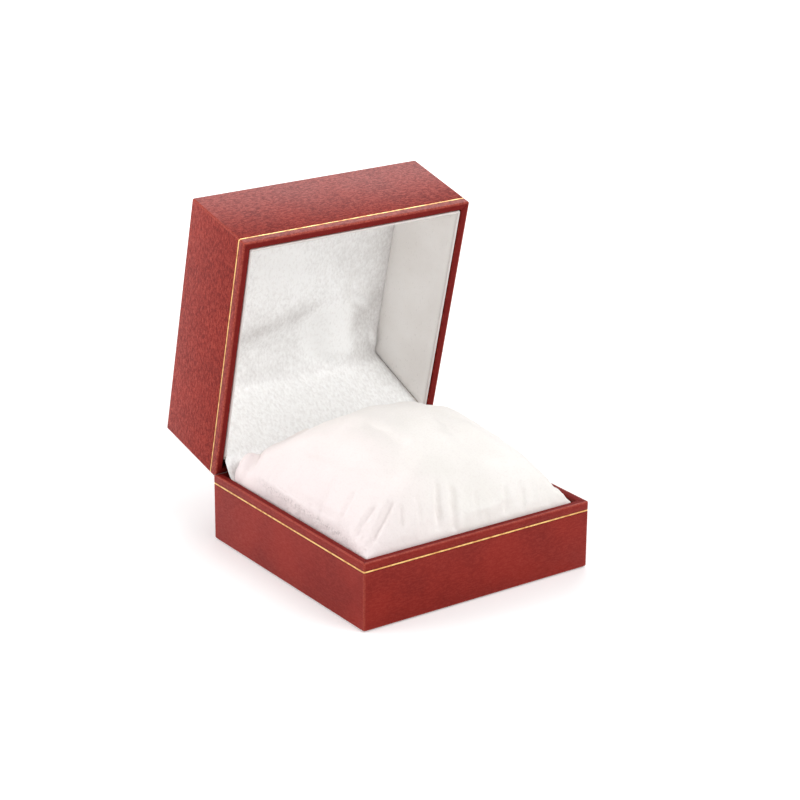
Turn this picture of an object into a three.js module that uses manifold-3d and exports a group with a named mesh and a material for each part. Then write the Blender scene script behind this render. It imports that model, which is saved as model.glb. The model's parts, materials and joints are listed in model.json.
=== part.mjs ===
// A square presentation box, covered in leatherette, that stands open on its base.
// The lid turns on a long hinge let into the back rims and stops when the chamfered back edges meet.
// The base holds a domed plush pillow and the lid is lined in satin round a padded roof.
// Millimetres. The origin is the centre of the underside, +Z is up and the front faces -Y.

import * as THREE from "three";
import { mergeVertices } from "three/addons/utils/BufferGeometryUtils.js";
import Module from "manifold-3d";

const wasm = await Module();
wasm.setup();

// Overall sizes of the closed box
const WIDTH = 92;
const DEPTH = 92;
const BASE_HEIGHT = 24;
const LID_HEIGHT = 33.6;
const RIM_GAP = 0.3;
const OPEN_ANGLE = 76.4;

// Layers of each wall, from outside to inside
const WRAP = 0.45;
const GLUE_GAP = 0.1;
const SHELL_WALL = 1.6;
const SHELL_FLOOR = 2;

// Leatherette wrap
const CORNER_ROUND = 1.1;
const EDGE_ROUND = 0.6;
const TURN_IN = 9;
const TURN_UNDER = 6;

// Gilt line let into the wrap of each half, all the way round
const GILT_FROM_RIM = 3.2;
const GILT_WIDTH = 0.5;
const GILT_THICKNESS = 0.14;
const GILT_RECESS = 0.02;
const GILT_GAP = 0.04;

// Panel under the base, which stands a little proud of the wrap
const PANEL_THICKNESS = 0.65;
const PANEL_PROUD = 0.1;
const PANEL_CLEARANCE = 0.25;
const PANEL_CORNER = 1.5;

// Lining cards inside the base
const LINER_THICKNESS = 0.45;
const LINER_CLEARANCE = 0.2;
const FLOOR_CARD = 0.6;
const HINGE_COVER = 0.8;
const HINGE_COVER_FROM_WALL = 4.3;
const HINGE_COVER_BELOW_RIM = 0.8;
const SEAT_GAP = 0.3;

// Pillow
const PILLOW_UNDER_ROOF = 4.75;
const PILLOW_CLEARANCE = 0.5;
const PILLOW_BELOW_RIM = 4.5;
const PILLOW_SIDE_POWER = 3;
const PILLOW_DOME_POWER = 0.7;
const PILLOW_PLAN_POWER = 10;
const PILLOW_FOOT_ROUND = 3;
const PILLOW_STEPS = 12;
const PILLOW_SIDE_STEPS = 4;
const COVER_THICKNESS = 0.8;
const FILLING_CLEARANCE = 0.3;
const FILL_SLOT_LENGTH = 50;
const FILL_SLOT_WIDTH = 3;

// Satin linings in the lid, which lean inwards from the rim to the roof
const LINING_THICKNESS = 1;
const LINING_CLEARANCE = 0.2;
const LINING_BELOW_RIM = 0.3;
const LINING_LEAN = 5.4;
const RAMP_FROM_WALL = 4.8;
const RAMP_LEAN = 10.6;
const MITRE_GAP = 0.15;

// Padded roof of the lid
const PAD_BOARD = 0.8;
const PAD_BOARD_MARGIN = 1.2;
const PAD_THICKNESS = 2.8;
const PAD_SATIN = 0.4;
const PAD_EDGE_ROUND = 0.8;
const PAD_CORNER = 3;
const PAD_CLEARANCE = 0.3;

// Hinge
const HINGE_LENGTH = 60;
const PIVOT_FROM_BACK = 1.2;
const PIN_RADIUS = 0.55;
const PIN_CLEARANCE = 0.07;
const PIN_END = 0.2;
const LEAF_THICKNESS = 0.5;
const LEAF_HEIGHT = 12;
const KNUCKLE_COUNT = 5;
const KNUCKLE_GAP = 0.3;
const NOTCH_CLEARANCE = 0.3;
const RIVET_FROM_END = 8;
const RIVET_FROM_PIVOT = 7;
const RIVET_RADIUS = 0.8;
const RIVET_HEAD_RADIUS = 1.5;
const RIVET_HEAD = 0.5;
const RIVET_IN_SHELL = 1.1;
const RIVET_CLEARANCE = 0.1;

// Bow spring that pulls the lid to either end of its travel
const SPRING_WIDTH = 8;
const SPRING_THICKNESS = 0.35;
const SPRING_HOOK_FROM_EDGE = 2.5;
const SPRING_HOOK_DEPTH = 0.35;
const SPRING_STAND_OFF = 1.5;
const SPRING_CREST = 3.9;
const SPRING_STEPS = 28;
const WINDOW_CLEARANCE = 0.3;

// Facets
const CORNER_SEGMENTS = 3;
const BEVEL_SEGMENTS = 2;
const ROUND_SEGMENTS = 16;

// Positions that follow from the sizes above
const RIM_WIDTH = 2 * WRAP + 2 * GLUE_GAP + SHELL_WALL;
const SHELL_INSET = WRAP + GLUE_GAP;
const SHELL_INNER = SHELL_INSET + SHELL_WALL;
const LID_LOW = BASE_HEIGHT + RIM_GAP;
const LID_HIGH = LID_LOW + LID_HEIGHT;
const HALF_GAP = RIM_GAP / 2;
const PIVOT_Y = DEPTH / 2 - PIVOT_FROM_BACK;
const PIVOT_Z = BASE_HEIGHT + HALF_GAP;
const HALF_OPEN = THREE.MathUtils.degToRad(OPEN_ANGLE / 2);
const FLOOR_TOP = PANEL_PROUD + SHELL_INSET + SHELL_FLOOR;
const ROOF_UNDERSIDE = LID_HIGH - SHELL_INSET - SHELL_FLOOR;
const CUT = 4;

const KNUCKLE_INNER = PIN_RADIUS + PIN_CLEARANCE;
const KNUCKLE_OUTER = KNUCKLE_INNER + LEAF_THICKNESS;
const KNUCKLE_PITCH = HINGE_LENGTH / KNUCKLE_COUNT;
const NOTCH_DEPTH = KNUCKLE_OUTER + NOTCH_CLEARANCE;
const LEAF_OUTER_Y = DEPTH / 2 - RIM_WIDTH - GLUE_GAP;
const LEAF_INNER_Y = LEAF_OUTER_Y - LEAF_THICKNESS;
const RIVET_X = HINGE_LENGTH / 2 - RIVET_FROM_END;
const HOOK_FROM_PIVOT = LEAF_HEIGHT - SPRING_HOOK_FROM_EDGE;

const PAD_BOARD_LOW = ROOF_UNDERSIDE - GLUE_GAP - PAD_BOARD;
const PAD_FACE = PAD_BOARD_LOW - GLUE_GAP - PAD_THICKNESS;

// ---------------------------------------------------------------- solids

// A closed three.js geometry as a solid that can be joined and cut.
function solid(geometry) {
  const bare = new THREE.BufferGeometry();
  bare.setAttribute("position", geometry.getAttribute("position"));
  bare.setIndex(geometry.index);
  const merged = mergeVertices(bare, 1e-4);
  return new wasm.Manifold(
    new wasm.Mesh({
      numProp: 3,
      vertProperties: new Float32Array(merged.attributes.position.array),
      triVerts: new Uint32Array(merged.index.array),
    }),
  );
}

function geometryOf(body) {
  const mesh = body.getMesh();
  const points = new Float32Array(mesh.numVert * 3);
  for (let i = 0; i < mesh.numVert; i += 1) {
    points.set(mesh.vertProperties.subarray(i * mesh.numProp, i * mesh.numProp + 3), i * 3);
  }
  const geometry = new THREE.BufferGeometry();
  geometry.setAttribute("position", new THREE.BufferAttribute(points, 3));
  geometry.setIndex(new THREE.BufferAttribute(mesh.triVerts, 1));
  geometry.computeVertexNormals();
  return geometry;
}

function outline(low, high, corner) {
  const shape = new THREE.Shape();
  shape.absarc(high[0] - corner, high[1] - corner, corner, 0, Math.PI / 2);
  shape.absarc(low[0] + corner, high[1] - corner, corner, Math.PI / 2, Math.PI);
  shape.absarc(low[0] + corner, low[1] + corner, corner, Math.PI, 1.5 * Math.PI);
  shape.absarc(high[0] - corner, low[1] + corner, corner, 1.5 * Math.PI, 2 * Math.PI);
  shape.closePath();
  return shape;
}

// A block with rounded upright corners between two opposite points, its level edges rounded too.
function block(low, high, corner, edge = 0) {
  const geometry = new THREE.ExtrudeGeometry(outline(low, high, corner), {
    depth: high[2] - low[2] - 2 * edge,
    curveSegments: CORNER_SEGMENTS,
    bevelEnabled: edge > 0,
    bevelThickness: edge,
    bevelSize: edge,
    bevelOffset: -edge,
    bevelSegments: BEVEL_SEGMENTS,
  });
  geometry.translate(0, 0, low[2] + edge);
  return solid(geometry);
}

// A block of the box's own outline, drawn in on all four sides.
function inset(amount, z0, z1, edge = 0) {
  const corner = Math.max(CORNER_ROUND - amount, 0.1);
  const x = WIDTH / 2 - amount;
  const y = DEPTH / 2 - amount;
  return block([-x, -y, z0], [x, y, z1], corner, edge);
}

function brick(low, high) {
  const size = [0, 1, 2].map((i) => high[i] - low[i]);
  const geometry = new THREE.BoxGeometry(...size);
  geometry.translate(...[0, 1, 2].map((i) => (low[i] + high[i]) / 2));
  return solid(geometry);
}

// A profile of [y, z] points drawn out along X.
function bar(profile, x0, x1) {
  const shape = new THREE.Shape(profile.map(([y, z]) => new THREE.Vector2(y, z)));
  const geometry = new THREE.ExtrudeGeometry(shape, { depth: x1 - x0, bevelEnabled: false });
  const turn = new THREE.Matrix4().makeBasis(
    new THREE.Vector3(0, 1, 0),
    new THREE.Vector3(0, 0, 1),
    new THREE.Vector3(1, 0, 0),
  );
  geometry.applyMatrix4(turn);
  geometry.translate(x0, 0, 0);
  return solid(geometry);
}

// A round bar along X on the hinge axis.
function axisBar(radius, x0, x1) {
  const geometry = new THREE.CylinderGeometry(radius, radius, x1 - x0, ROUND_SEGMENTS);
  geometry.rotateZ(Math.PI / 2);
  geometry.translate((x0 + x1) / 2, PIVOT_Y, PIVOT_Z);
  return solid(geometry);
}

// A round bar along Y.
function stud(radius, x, z, y0, y1) {
  const geometry = new THREE.CylinderGeometry(radius, radius, y1 - y0, ROUND_SEGMENTS);
  geometry.translate(x, (y0 + y1) / 2, z);
  return solid(geometry);
}

// Moves each vertex of a box that spans -1 to 1 each way.
function warp(steps, move) {
  const geometry = new THREE.BoxGeometry(2, 2, 2, ...steps);
  const position = geometry.getAttribute("position");
  for (let i = 0; i < position.count; i += 1) {
    position.setXYZ(i, ...move(position.getX(i), position.getY(i), position.getZ(i)));
  }
  return solid(geometry);
}

// ---------------------------------------------------------------- back edge and notch

// side is -1 for the base, which lies below the hinge axis, and 1 for the lid.
// What lies past the chamfer plane, which runs back from just off the hinge axis.
function pastChamfer(side, layer) {
  const along = [Math.cos(HALF_OPEN), side * Math.sin(HALF_OPEN)];
  const out = [Math.sin(HALF_OPEN), -side * Math.cos(HALF_OPEN)];
  const reach = DEPTH / 4;
  const start = HALF_GAP + layer;
  const corner = (a, b) => [
    PIVOT_Y + along[0] * a + out[0] * (b - start),
    PIVOT_Z + along[1] * a + out[1] * (b - start),
  ];
  const profile = [corner(-reach, 0), corner(reach, 0), corner(reach, reach), corner(-reach, reach)];
  return bar(side < 0 ? profile : profile.reverse(), -WIDTH, WIDTH);
}

// The slot in the back rim that the knuckles lie in, and the seats of the rivets.
function hingeRoom(side) {
  const halfSlot = HINGE_LENGTH / 2 + NOTCH_CLEARANCE;
  const far = PIVOT_Z + side * NOTCH_DEPTH;
  const near = PIVOT_Z - side * CUT;
  let room = brick(
    [-halfSlot, LEAF_OUTER_Y, Math.min(far, near)],
    [halfSlot, DEPTH / 2 + CUT, Math.max(far, near)],
  );
  for (const x of [-RIVET_X, RIVET_X]) {
    const z = PIVOT_Z + side * RIVET_FROM_PIVOT;
    const seat = stud(RIVET_RADIUS + RIVET_CLEARANCE, x, z, LEAF_INNER_Y, rivetEnd() + RIVET_CLEARANCE);
    room = room.add(seat);
  }
  return room;
}

function rivetEnd() {
  return DEPTH / 2 - SHELL_INNER + RIVET_IN_SHELL;
}

// ---------------------------------------------------------------- wrap, shell and gilt line

// The sheet that covers one half outside, turns over its rim and ends on the inside of the wall.
function wrap(side, low, high) {
  const rim = side < 0 ? high : low;
  const bandEnd = rim + side * TURN_IN;
  const band = inset(RIM_WIDTH - WRAP, Math.min(rim, bandEnd), Math.max(rim, bandEnd));
  const room = inset(WRAP, low + WRAP, high - WRAP, EDGE_ROUND - WRAP)
    .subtract(pastChamfer(side, WRAP))
    .subtract(band);
  const mouth = side < 0
    ? inset(RIM_WIDTH, low + WRAP, high + CUT)
    : inset(RIM_WIDTH, low - CUT, high - WRAP);
  const body = inset(0, low, high, EDGE_ROUND)
    .subtract(pastChamfer(side, 0))
    .subtract(room)
    .subtract(mouth)
    .subtract(giltGroove(side, rim))
    .subtract(hingeRoom(side));
  return side < 0 ? body.subtract(inset(TURN_UNDER, low - CUT, low + CUT)) : body;
}

function giltGroove(side, rim) {
  const middle = rim + side * GILT_FROM_RIM;
  const half = GILT_WIDTH / 2 + GILT_GAP;
  const around = brick([-WIDTH, -DEPTH, middle - half], [WIDTH, DEPTH, middle + half]);
  return around.subtract(
    inset(GILT_RECESS + GILT_THICKNESS + GILT_GAP, middle - 2 * half, middle + 2 * half),
  );
}

function giltLine(side, rim) {
  const middle = rim + side * GILT_FROM_RIM;
  const z0 = middle - GILT_WIDTH / 2;
  const z1 = middle + GILT_WIDTH / 2;
  return inset(GILT_RECESS, z0, z1).subtract(
    inset(GILT_RECESS + GILT_THICKNESS, z0 - CUT, z1 + CUT),
  );
}

// The moulded tray under the wrap.
function shell(side, low, high) {
  const outer = inset(SHELL_INSET, low + SHELL_INSET, high - SHELL_INSET);
  const z0 = side < 0 ? low + SHELL_INSET + SHELL_FLOOR : low - CUT;
  const z1 = side < 0 ? high + CUT : high - SHELL_INSET - SHELL_FLOOR;
  return outer
    .subtract(pastChamfer(side, SHELL_INSET))
    .subtract(inset(SHELL_INNER, z0, z1))
    .subtract(hingeRoom(side));
}

// ---------------------------------------------------------------- base linings and pillow

function basePanel() {
  const x = WIDTH / 2 - TURN_UNDER - PANEL_CLEARANCE;
  const y = DEPTH / 2 - TURN_UNDER - PANEL_CLEARANCE;
  const top = Math.min(PANEL_THICKNESS, PANEL_PROUD + SHELL_INSET);
  return block([-x, -y, 0], [x, y, top], PANEL_CORNER);
}

function baseLiner() {
  const z0 = FLOOR_TOP + GLUE_GAP;
  const z1 = BASE_HEIGHT - TURN_IN - LINER_CLEARANCE;
  const outer = SHELL_INNER + GLUE_GAP;
  const leafRoom = brick(
    [-HINGE_LENGTH / 2 - LINER_CLEARANCE, 0, PIVOT_Z - LEAF_HEIGHT - LINER_CLEARANCE],
    [HINGE_LENGTH / 2 + LINER_CLEARANCE, DEPTH, BASE_HEIGHT],
  );
  return inset(outer, z0, z1)
    .subtract(inset(outer + LINER_THICKNESS, z0 - CUT, z1 + CUT))
    .subtract(leafRoom);
}

const LINER_FACE = SHELL_INNER + GLUE_GAP + LINER_THICKNESS;
const COVER_BACK = DEPTH / 2 - RIM_WIDTH - HINGE_COVER_FROM_WALL;

function floorCard() {
  const side = WIDTH / 2 - LINER_FACE - LINER_CLEARANCE;
  const front = DEPTH / 2 - LINER_FACE - LINER_CLEARANCE;
  const z0 = FLOOR_TOP + GLUE_GAP;
  return block([-side, -front, z0], [side, front, z0 + FLOOR_CARD], 0.5);
}

function hingeCover() {
  const side = WIDTH / 2 - LINER_FACE - LINER_CLEARANCE;
  const z0 = FLOOR_TOP + GLUE_GAP + FLOOR_CARD + GLUE_GAP;
  return brick(
    [-side, COVER_BACK - HINGE_COVER, z0],
    [side, COVER_BACK, BASE_HEIGHT - HINGE_COVER_BELOW_RIM],
  );
}

// The pillow's shape, drawn in on every side by a layer. Its dome ends a little under the closed roof.
function pillow(layer) {
  const side = WIDTH / 2 - LINER_FACE - PILLOW_CLEARANCE;
  const front = -(DEPTH / 2 - LINER_FACE - PILLOW_CLEARANCE);
  const back = COVER_BACK - HINGE_COVER - PILLOW_CLEARANCE;
  const foot = FLOOR_TOP + GLUE_GAP + FLOOR_CARD + SEAT_GAP + layer;
  const shoulder = BASE_HEIGHT - PILLOW_BELOW_RIM - layer;
  const rise = PAD_FACE - PILLOW_UNDER_ROOF - layer - shoulder;
  const middle = (front + back) / 2;
  const reach = [side - layer, (back - front) / 2 - layer];
  const fall = (t) => (1 - Math.abs(t) ** PILLOW_SIDE_POWER) ** PILLOW_DOME_POWER;
  const spread = (t) => Math.sin((t * Math.PI) / 2);
  return warp([PILLOW_STEPS, PILLOW_STEPS, PILLOW_SIDE_STEPS], (a, b, c) => {
    const u = spread(a);
    const v = spread(b);
    const most = Math.max(Math.abs(u), Math.abs(v));
    const power = PILLOW_PLAN_POWER;
    const ring = (Math.abs(u) ** power + Math.abs(v) ** power) ** (1 / power);
    const plan = ring > 0 ? most / ring : 1;
    const top = shoulder + rise * fall(u) * fall(v);
    const bottom = foot + PILLOW_FOOT_ROUND * most ** PILLOW_PLAN_POWER;
    return [
      u * plan * reach[0],
      middle + v * plan * reach[1],
      bottom + ((top - bottom) * (c + 1)) / 2,
    ];
  });
}

function pillowCover() {
  const slot = brick(
    [-FILL_SLOT_LENGTH / 2, -FILL_SLOT_WIDTH / 2, 0],
    [FILL_SLOT_LENGTH / 2, FILL_SLOT_WIDTH / 2, BASE_HEIGHT / 2],
  );
  return pillow(0).subtract(pillow(COVER_THICKNESS)).subtract(slot);
}

// ---------------------------------------------------------------- lid linings and roof pad

const LINING_TOP = PAD_BOARD_LOW - SEAT_GAP;
const LINING_BOTTOM = LID_LOW + LINING_BELOW_RIM;

// The inner faces of the four linings at a height, as [x, front y, back y].
function liningFaces(z) {
  const share = (z - LINING_BOTTOM) / (LINING_TOP - LINING_BOTTOM);
  const from = RIM_WIDTH + LINING_CLEARANCE + LINING_THICKNESS + LINING_LEAN * share;
  const ramp = RAMP_FROM_WALL + RIM_WIDTH + RAMP_LEAN * share;
  return [WIDTH / 2 - from, from - DEPTH / 2, DEPTH / 2 - ramp];
}

// The panel between two neighbouring corners of the lining, mitred at both ends.
function lining(start, end) {
  const cornerAt = (z, which, out) => {
    const [x, front, back] = liningFaces(z);
    const grow = out * LINING_THICKNESS;
    const places = [
      [-x - grow, front - grow],
      [x + grow, front - grow],
      [x + grow, back + grow],
      [-x - grow, back + grow],
    ];
    return places[which];
  };
  return warp([1, 1, 1], (a, b, c) => {
    const z = c > 0 ? LINING_TOP : LINING_BOTTOM;
    const out = b > 0 ? 0 : 1;
    const here = cornerAt(z, a > 0 ? end : start, out);
    const there = cornerAt(z, a > 0 ? start : end, out);
    const length = Math.hypot(there[0] - here[0], there[1] - here[1]);
    const shift = MITRE_GAP / length;
    return [here[0] + (there[0] - here[0]) * shift, here[1] + (there[1] - here[1]) * shift, z];
  });
}

function padBoard() {
  const x = WIDTH / 2 - SHELL_INNER - PAD_BOARD_MARGIN;
  const y = DEPTH / 2 - SHELL_INNER - PAD_BOARD_MARGIN;
  return block([-x, -y, PAD_BOARD_LOW], [x, y, PAD_BOARD_LOW + PAD_BOARD], PAD_CORNER);
}

// The padded roof's outer shape, drawn in by a layer on every side but its back.
function padShape(layer, top, edge) {
  const [x, front, back] = liningFaces(LINING_TOP);
  const away = PAD_CLEARANCE + layer;
  return block([away - x, front + away, PAD_FACE + layer], [x - away, back - away, top], PAD_CORNER - layer, edge);
}

function padSatin() {
  const top = PAD_BOARD_LOW - GLUE_GAP;
  const full = padShape(0, top + PAD_EDGE_ROUND, PAD_EDGE_ROUND);
  const room = padShape(PAD_SATIN, top + CUT, PAD_EDGE_ROUND - PAD_SATIN);
  const above = brick([-WIDTH, -DEPTH, top], [WIDTH, DEPTH, top + 2 * CUT]);
  return full.subtract(room).subtract(above);
}

function padFoam() {
  const layer = PAD_SATIN + GLUE_GAP;
  return padShape(layer, PAD_BOARD_LOW - GLUE_GAP, PAD_EDGE_ROUND - layer);
}

// ---------------------------------------------------------------- hinge

// The leaf on the inside of one back wall, with every second knuckle.
function leaf(side, first) {
  const zAt = (distance) => PIVOT_Z + side * distance;
  const profile = [
    [LEAF_INNER_Y, zAt(LEAF_HEIGHT)],
    [LEAF_OUTER_Y, zAt(LEAF_HEIGHT)],
    [LEAF_OUTER_Y, zAt(KNUCKLE_OUTER)],
    [PIVOT_Y, zAt(KNUCKLE_OUTER)],
    [PIVOT_Y, zAt(KNUCKLE_INNER)],
    [LEAF_INNER_Y, zAt(KNUCKLE_INNER)],
  ];
  const half = HINGE_LENGTH / 2;
  let body = bar(side < 0 ? profile : profile.reverse(), -half, half);
  for (let i = 0; i < KNUCKLE_COUNT; i += 1) {
    const x0 = -half + i * KNUCKLE_PITCH;
    const x1 = x0 + KNUCKLE_PITCH;
    if (i % 2 === first) {
      const from = i === 0 ? x0 : x0 + KNUCKLE_GAP / 2;
      const to = i === KNUCKLE_COUNT - 1 ? x1 : x1 - KNUCKLE_GAP / 2;
      body = body.add(axisBar(KNUCKLE_OUTER, from, to));
    } else {
      const from = i === 0 ? x0 - CUT : x0 - KNUCKLE_GAP / 2;
      const to = i === KNUCKLE_COUNT - 1 ? x1 + CUT : x1 + KNUCKLE_GAP / 2;
      const y0 = PIVOT_Y - KNUCKLE_OUTER - NOTCH_CLEARANCE;
      body = body.subtract(
        brick([from, y0, PIVOT_Z - CUT], [to, PIVOT_Y + CUT, PIVOT_Z + CUT]),
      );
    }
  }
  body = body.subtract(axisBar(KNUCKLE_INNER, -half - CUT, half + CUT));
  for (const x of [-RIVET_X, RIVET_X]) {
    const hole = RIVET_RADIUS + RIVET_CLEARANCE;
    body = body.subtract(stud(hole, x, zAt(RIVET_FROM_PIVOT), LEAF_INNER_Y - CUT, LEAF_OUTER_Y + CUT));
  }
  const halfWindow = SPRING_WIDTH / 2 + WINDOW_CLEARANCE;
  const halfSlit = SPRING_THICKNESS / 2 + WINDOW_CLEARANCE;
  return body.subtract(
    brick(
      [-halfWindow, LEAF_INNER_Y - CUT, zAt(HOOK_FROM_PIVOT) - halfSlit],
      [halfWindow, LEAF_OUTER_Y + CUT, zAt(HOOK_FROM_PIVOT) + halfSlit],
    ),
  );
}

function rivet(side, x) {
  const z = PIVOT_Z + side * RIVET_FROM_PIVOT;
  const headEnd = LEAF_INNER_Y - GLUE_GAP;
  const shank = stud(RIVET_RADIUS, x, z, headEnd - RIVET_HEAD / 2, rivetEnd());
  return shank.add(stud(RIVET_HEAD_RADIUS, x, z, headEnd - RIVET_HEAD, headEnd));
}

// The strip's line runs from the base's window round the hinge to the lid's window,
// and its second half mirrors its first across the plane half way between the two walls.
function spring() {
  const leafFace = LEAF_INNER_Y - PIVOT_Y;
  const hookZ = -HOOK_FROM_PIVOT;
  const away = leafFace - SPRING_STAND_OFF;
  const half = [
    [leafFace + SPRING_HOOK_DEPTH, hookZ],
    [leafFace - SPRING_STAND_OFF / 2, hookZ + SPRING_THICKNESS / 4],
    [away, hookZ + SPRING_STAND_OFF],
    [away - SPRING_THICKNESS, hookZ / 2],
    [away, hookZ / 6],
  ];
  const crest = [-Math.cos(HALF_OPEN) * SPRING_CREST, Math.sin(HALF_OPEN) * SPRING_CREST];
  const mirror = ([y, z]) => {
    const cos = Math.cos(2 * HALF_OPEN);
    const sin = Math.sin(2 * HALF_OPEN);
    return [y * cos - z * sin, -y * sin - z * cos];
  };
  const points = [...half, crest, ...half.slice().reverse().map(mirror)];
  const line = new THREE.CatmullRomCurve3(
    points.map(([y, z]) => new THREE.Vector3(PIVOT_Y + y, PIVOT_Z + z, 0)),
    false,
    "centripetal",
  );
  const left = [];
  const right = [];
  for (let i = 0; i <= SPRING_STEPS; i += 1) {
    const point = line.getPoint(i / SPRING_STEPS);
    const tangent = line.getTangent(i / SPRING_STEPS);
    const across = new THREE.Vector2(-tangent.y, tangent.x).multiplyScalar(SPRING_THICKNESS / 2);
    left.push([point.x + across.x, point.y + across.y]);
    right.push([point.x - across.x, point.y - across.y]);
  }
  return bar([...right, ...left.reverse()], -SPRING_WIDTH / 2, SPRING_WIDTH / 2);
}

// ---------------------------------------------------------------- materials and assembly

function material(color, roughness, metalness = 0) {
  return new THREE.MeshStandardMaterial({ color, roughness, metalness });
}

function add(parent, name, body, finish) {
  const mesh = new THREE.Mesh(geometryOf(body), finish);
  mesh.name = name;
  parent.add(mesh);
  return mesh;
}

const leatherette = () => material(0xa83a33, 0.5);
const gilt = () => material(0xe8c48e, 0.35, 0.8);
const moulding = () => material(0x3a2f2c, 0.6);
const felt = () => material(0x2a2423, 0.95);
const card = () => material(0xe6dfd6, 0.9);
const plush = () => material(0xf6efed, 0.95);
const satin = () => material(0xf2efec, 0.45);
const foam = () => material(0xf2ead2, 0.95);
const brass = () => material(0xc9a24d, 0.35, 1);
const steel = () => material(0xb9bcc0, 0.3, 1);

const box = new THREE.Group();

const base = new THREE.Group();
box.add(base);
add(base, "base_shell", shell(-1, PANEL_PROUD, BASE_HEIGHT), moulding());
add(base, "base_wrap", wrap(-1, PANEL_PROUD, BASE_HEIGHT), leatherette());
add(base, "base_gilt_line", giltLine(-1, BASE_HEIGHT), gilt());
add(base, "base_bottom_panel", basePanel(), felt());
add(base, "base_liner", baseLiner(), card());
add(base, "base_floor_card", floorCard(), card());
add(base, "base_hinge_cover", hingeCover(), card());
add(base, "pillow_cover", pillowCover(), plush());
add(base, "pillow_filling", pillow(COVER_THICKNESS + FILLING_CLEARANCE), foam());
add(base, "hinge_leaf_base", leaf(-1, 0), brass());
add(base, "hinge_pin", axisBar(PIN_RADIUS, -HINGE_LENGTH / 2 - PIN_END, HINGE_LENGTH / 2 + PIN_END), steel());
add(base, "hinge_rivet_base_left", rivet(-1, -RIVET_X), brass());
add(base, "hinge_rivet_base_right", rivet(-1, RIVET_X), brass());
add(base, "hinge_spring", spring(), steel());

// The lid's pieces are drawn closed and turn with this group about the hinge axis.
const lid = new THREE.Group();
lid.position.set(0, PIVOT_Y, PIVOT_Z);
lid.rotation.x = -THREE.MathUtils.degToRad(OPEN_ANGLE);
box.add(lid);

const lidPieces = [
  ["lid_shell", shell(1, LID_LOW, LID_HIGH), moulding()],
  ["lid_wrap", wrap(1, LID_LOW, LID_HIGH), leatherette()],
  ["lid_gilt_line", giltLine(1, LID_LOW), gilt()],
  ["lid_lining_front", lining(0, 1), satin()],
  ["lid_lining_right", lining(1, 2), satin()],
  ["lid_lining_ramp", lining(2, 3), satin()],
  ["lid_lining_left", lining(3, 0), satin()],
  ["lid_pad_board", padBoard(), card()],
  ["lid_pad_foam", padFoam(), foam()],
  ["lid_pad_satin", padSatin(), satin()],
  ["hinge_leaf_lid", leaf(1, 1), brass()],
  ["hinge_rivet_lid_left", rivet(1, -RIVET_X), brass()],
  ["hinge_rivet_lid_right", rivet(1, RIVET_X), brass()],
];
for (const [name, body, finish] of lidPieces) {
  add(lid, name, body, finish).position.set(0, -PIVOT_Y, -PIVOT_Z);
}

export default box;
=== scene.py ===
import json
import math

import bmesh
import bpy
import numpy as np
from mathutils import Matrix, Vector


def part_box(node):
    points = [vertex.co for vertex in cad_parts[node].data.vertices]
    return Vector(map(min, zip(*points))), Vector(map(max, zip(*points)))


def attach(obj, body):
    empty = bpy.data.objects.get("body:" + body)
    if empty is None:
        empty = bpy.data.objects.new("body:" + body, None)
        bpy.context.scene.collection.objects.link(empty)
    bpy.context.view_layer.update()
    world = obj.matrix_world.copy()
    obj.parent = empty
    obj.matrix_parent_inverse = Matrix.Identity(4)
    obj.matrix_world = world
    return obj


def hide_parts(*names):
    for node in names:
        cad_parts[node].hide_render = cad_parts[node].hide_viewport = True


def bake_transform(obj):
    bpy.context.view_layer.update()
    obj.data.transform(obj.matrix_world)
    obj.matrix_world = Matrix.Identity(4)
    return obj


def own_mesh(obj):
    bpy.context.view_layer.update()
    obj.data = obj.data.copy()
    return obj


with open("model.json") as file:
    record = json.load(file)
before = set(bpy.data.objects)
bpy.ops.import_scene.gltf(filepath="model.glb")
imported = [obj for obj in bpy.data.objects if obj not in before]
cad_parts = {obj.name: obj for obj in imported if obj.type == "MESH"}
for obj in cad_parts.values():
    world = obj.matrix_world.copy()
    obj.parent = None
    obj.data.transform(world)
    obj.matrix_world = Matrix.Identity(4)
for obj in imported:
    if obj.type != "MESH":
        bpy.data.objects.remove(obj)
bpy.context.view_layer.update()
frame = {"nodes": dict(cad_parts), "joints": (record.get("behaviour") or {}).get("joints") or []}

MM = 0.001

# ---------------------------------------- sizes read from the frame

hinge = frame["joints"][0]
PIVOT = Vector(hinge["pos_m"])
OPEN_ANGLE = math.radians(max(hinge["range_deg"]))
CLOSE_LID = (
    Matrix.Translation(PIVOT) @ Matrix.Rotation(OPEN_ANGLE, 4, "X") @ Matrix.Translation(-PIVOT)
)
OPEN_LID = CLOSE_LID.inverted()


def closed_box(node):
    """The corners of one of the lid's CAD nodes with the lid shut."""
    points = [CLOSE_LID @ v.co for v in frame["nodes"][node].data.vertices]
    low = Vector(min(p[i] for p in points) for i in range(3))
    high = Vector(max(p[i] for p in points) for i in range(3))
    return low, high


BASE_LOW, BASE_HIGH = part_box("base_wrap")
LID_LOW, LID_HIGH = closed_box("lid_wrap")
HALF_WIDTH = BASE_HIGH.x
HALF_DEPTH = BASE_HIGH.y
GILT_LOW, GILT_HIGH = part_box("base_gilt_line")
GILT_BELOW_RIM = BASE_HIGH.z - (GILT_LOW.z + GILT_HIGH.z) / 2

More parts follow.
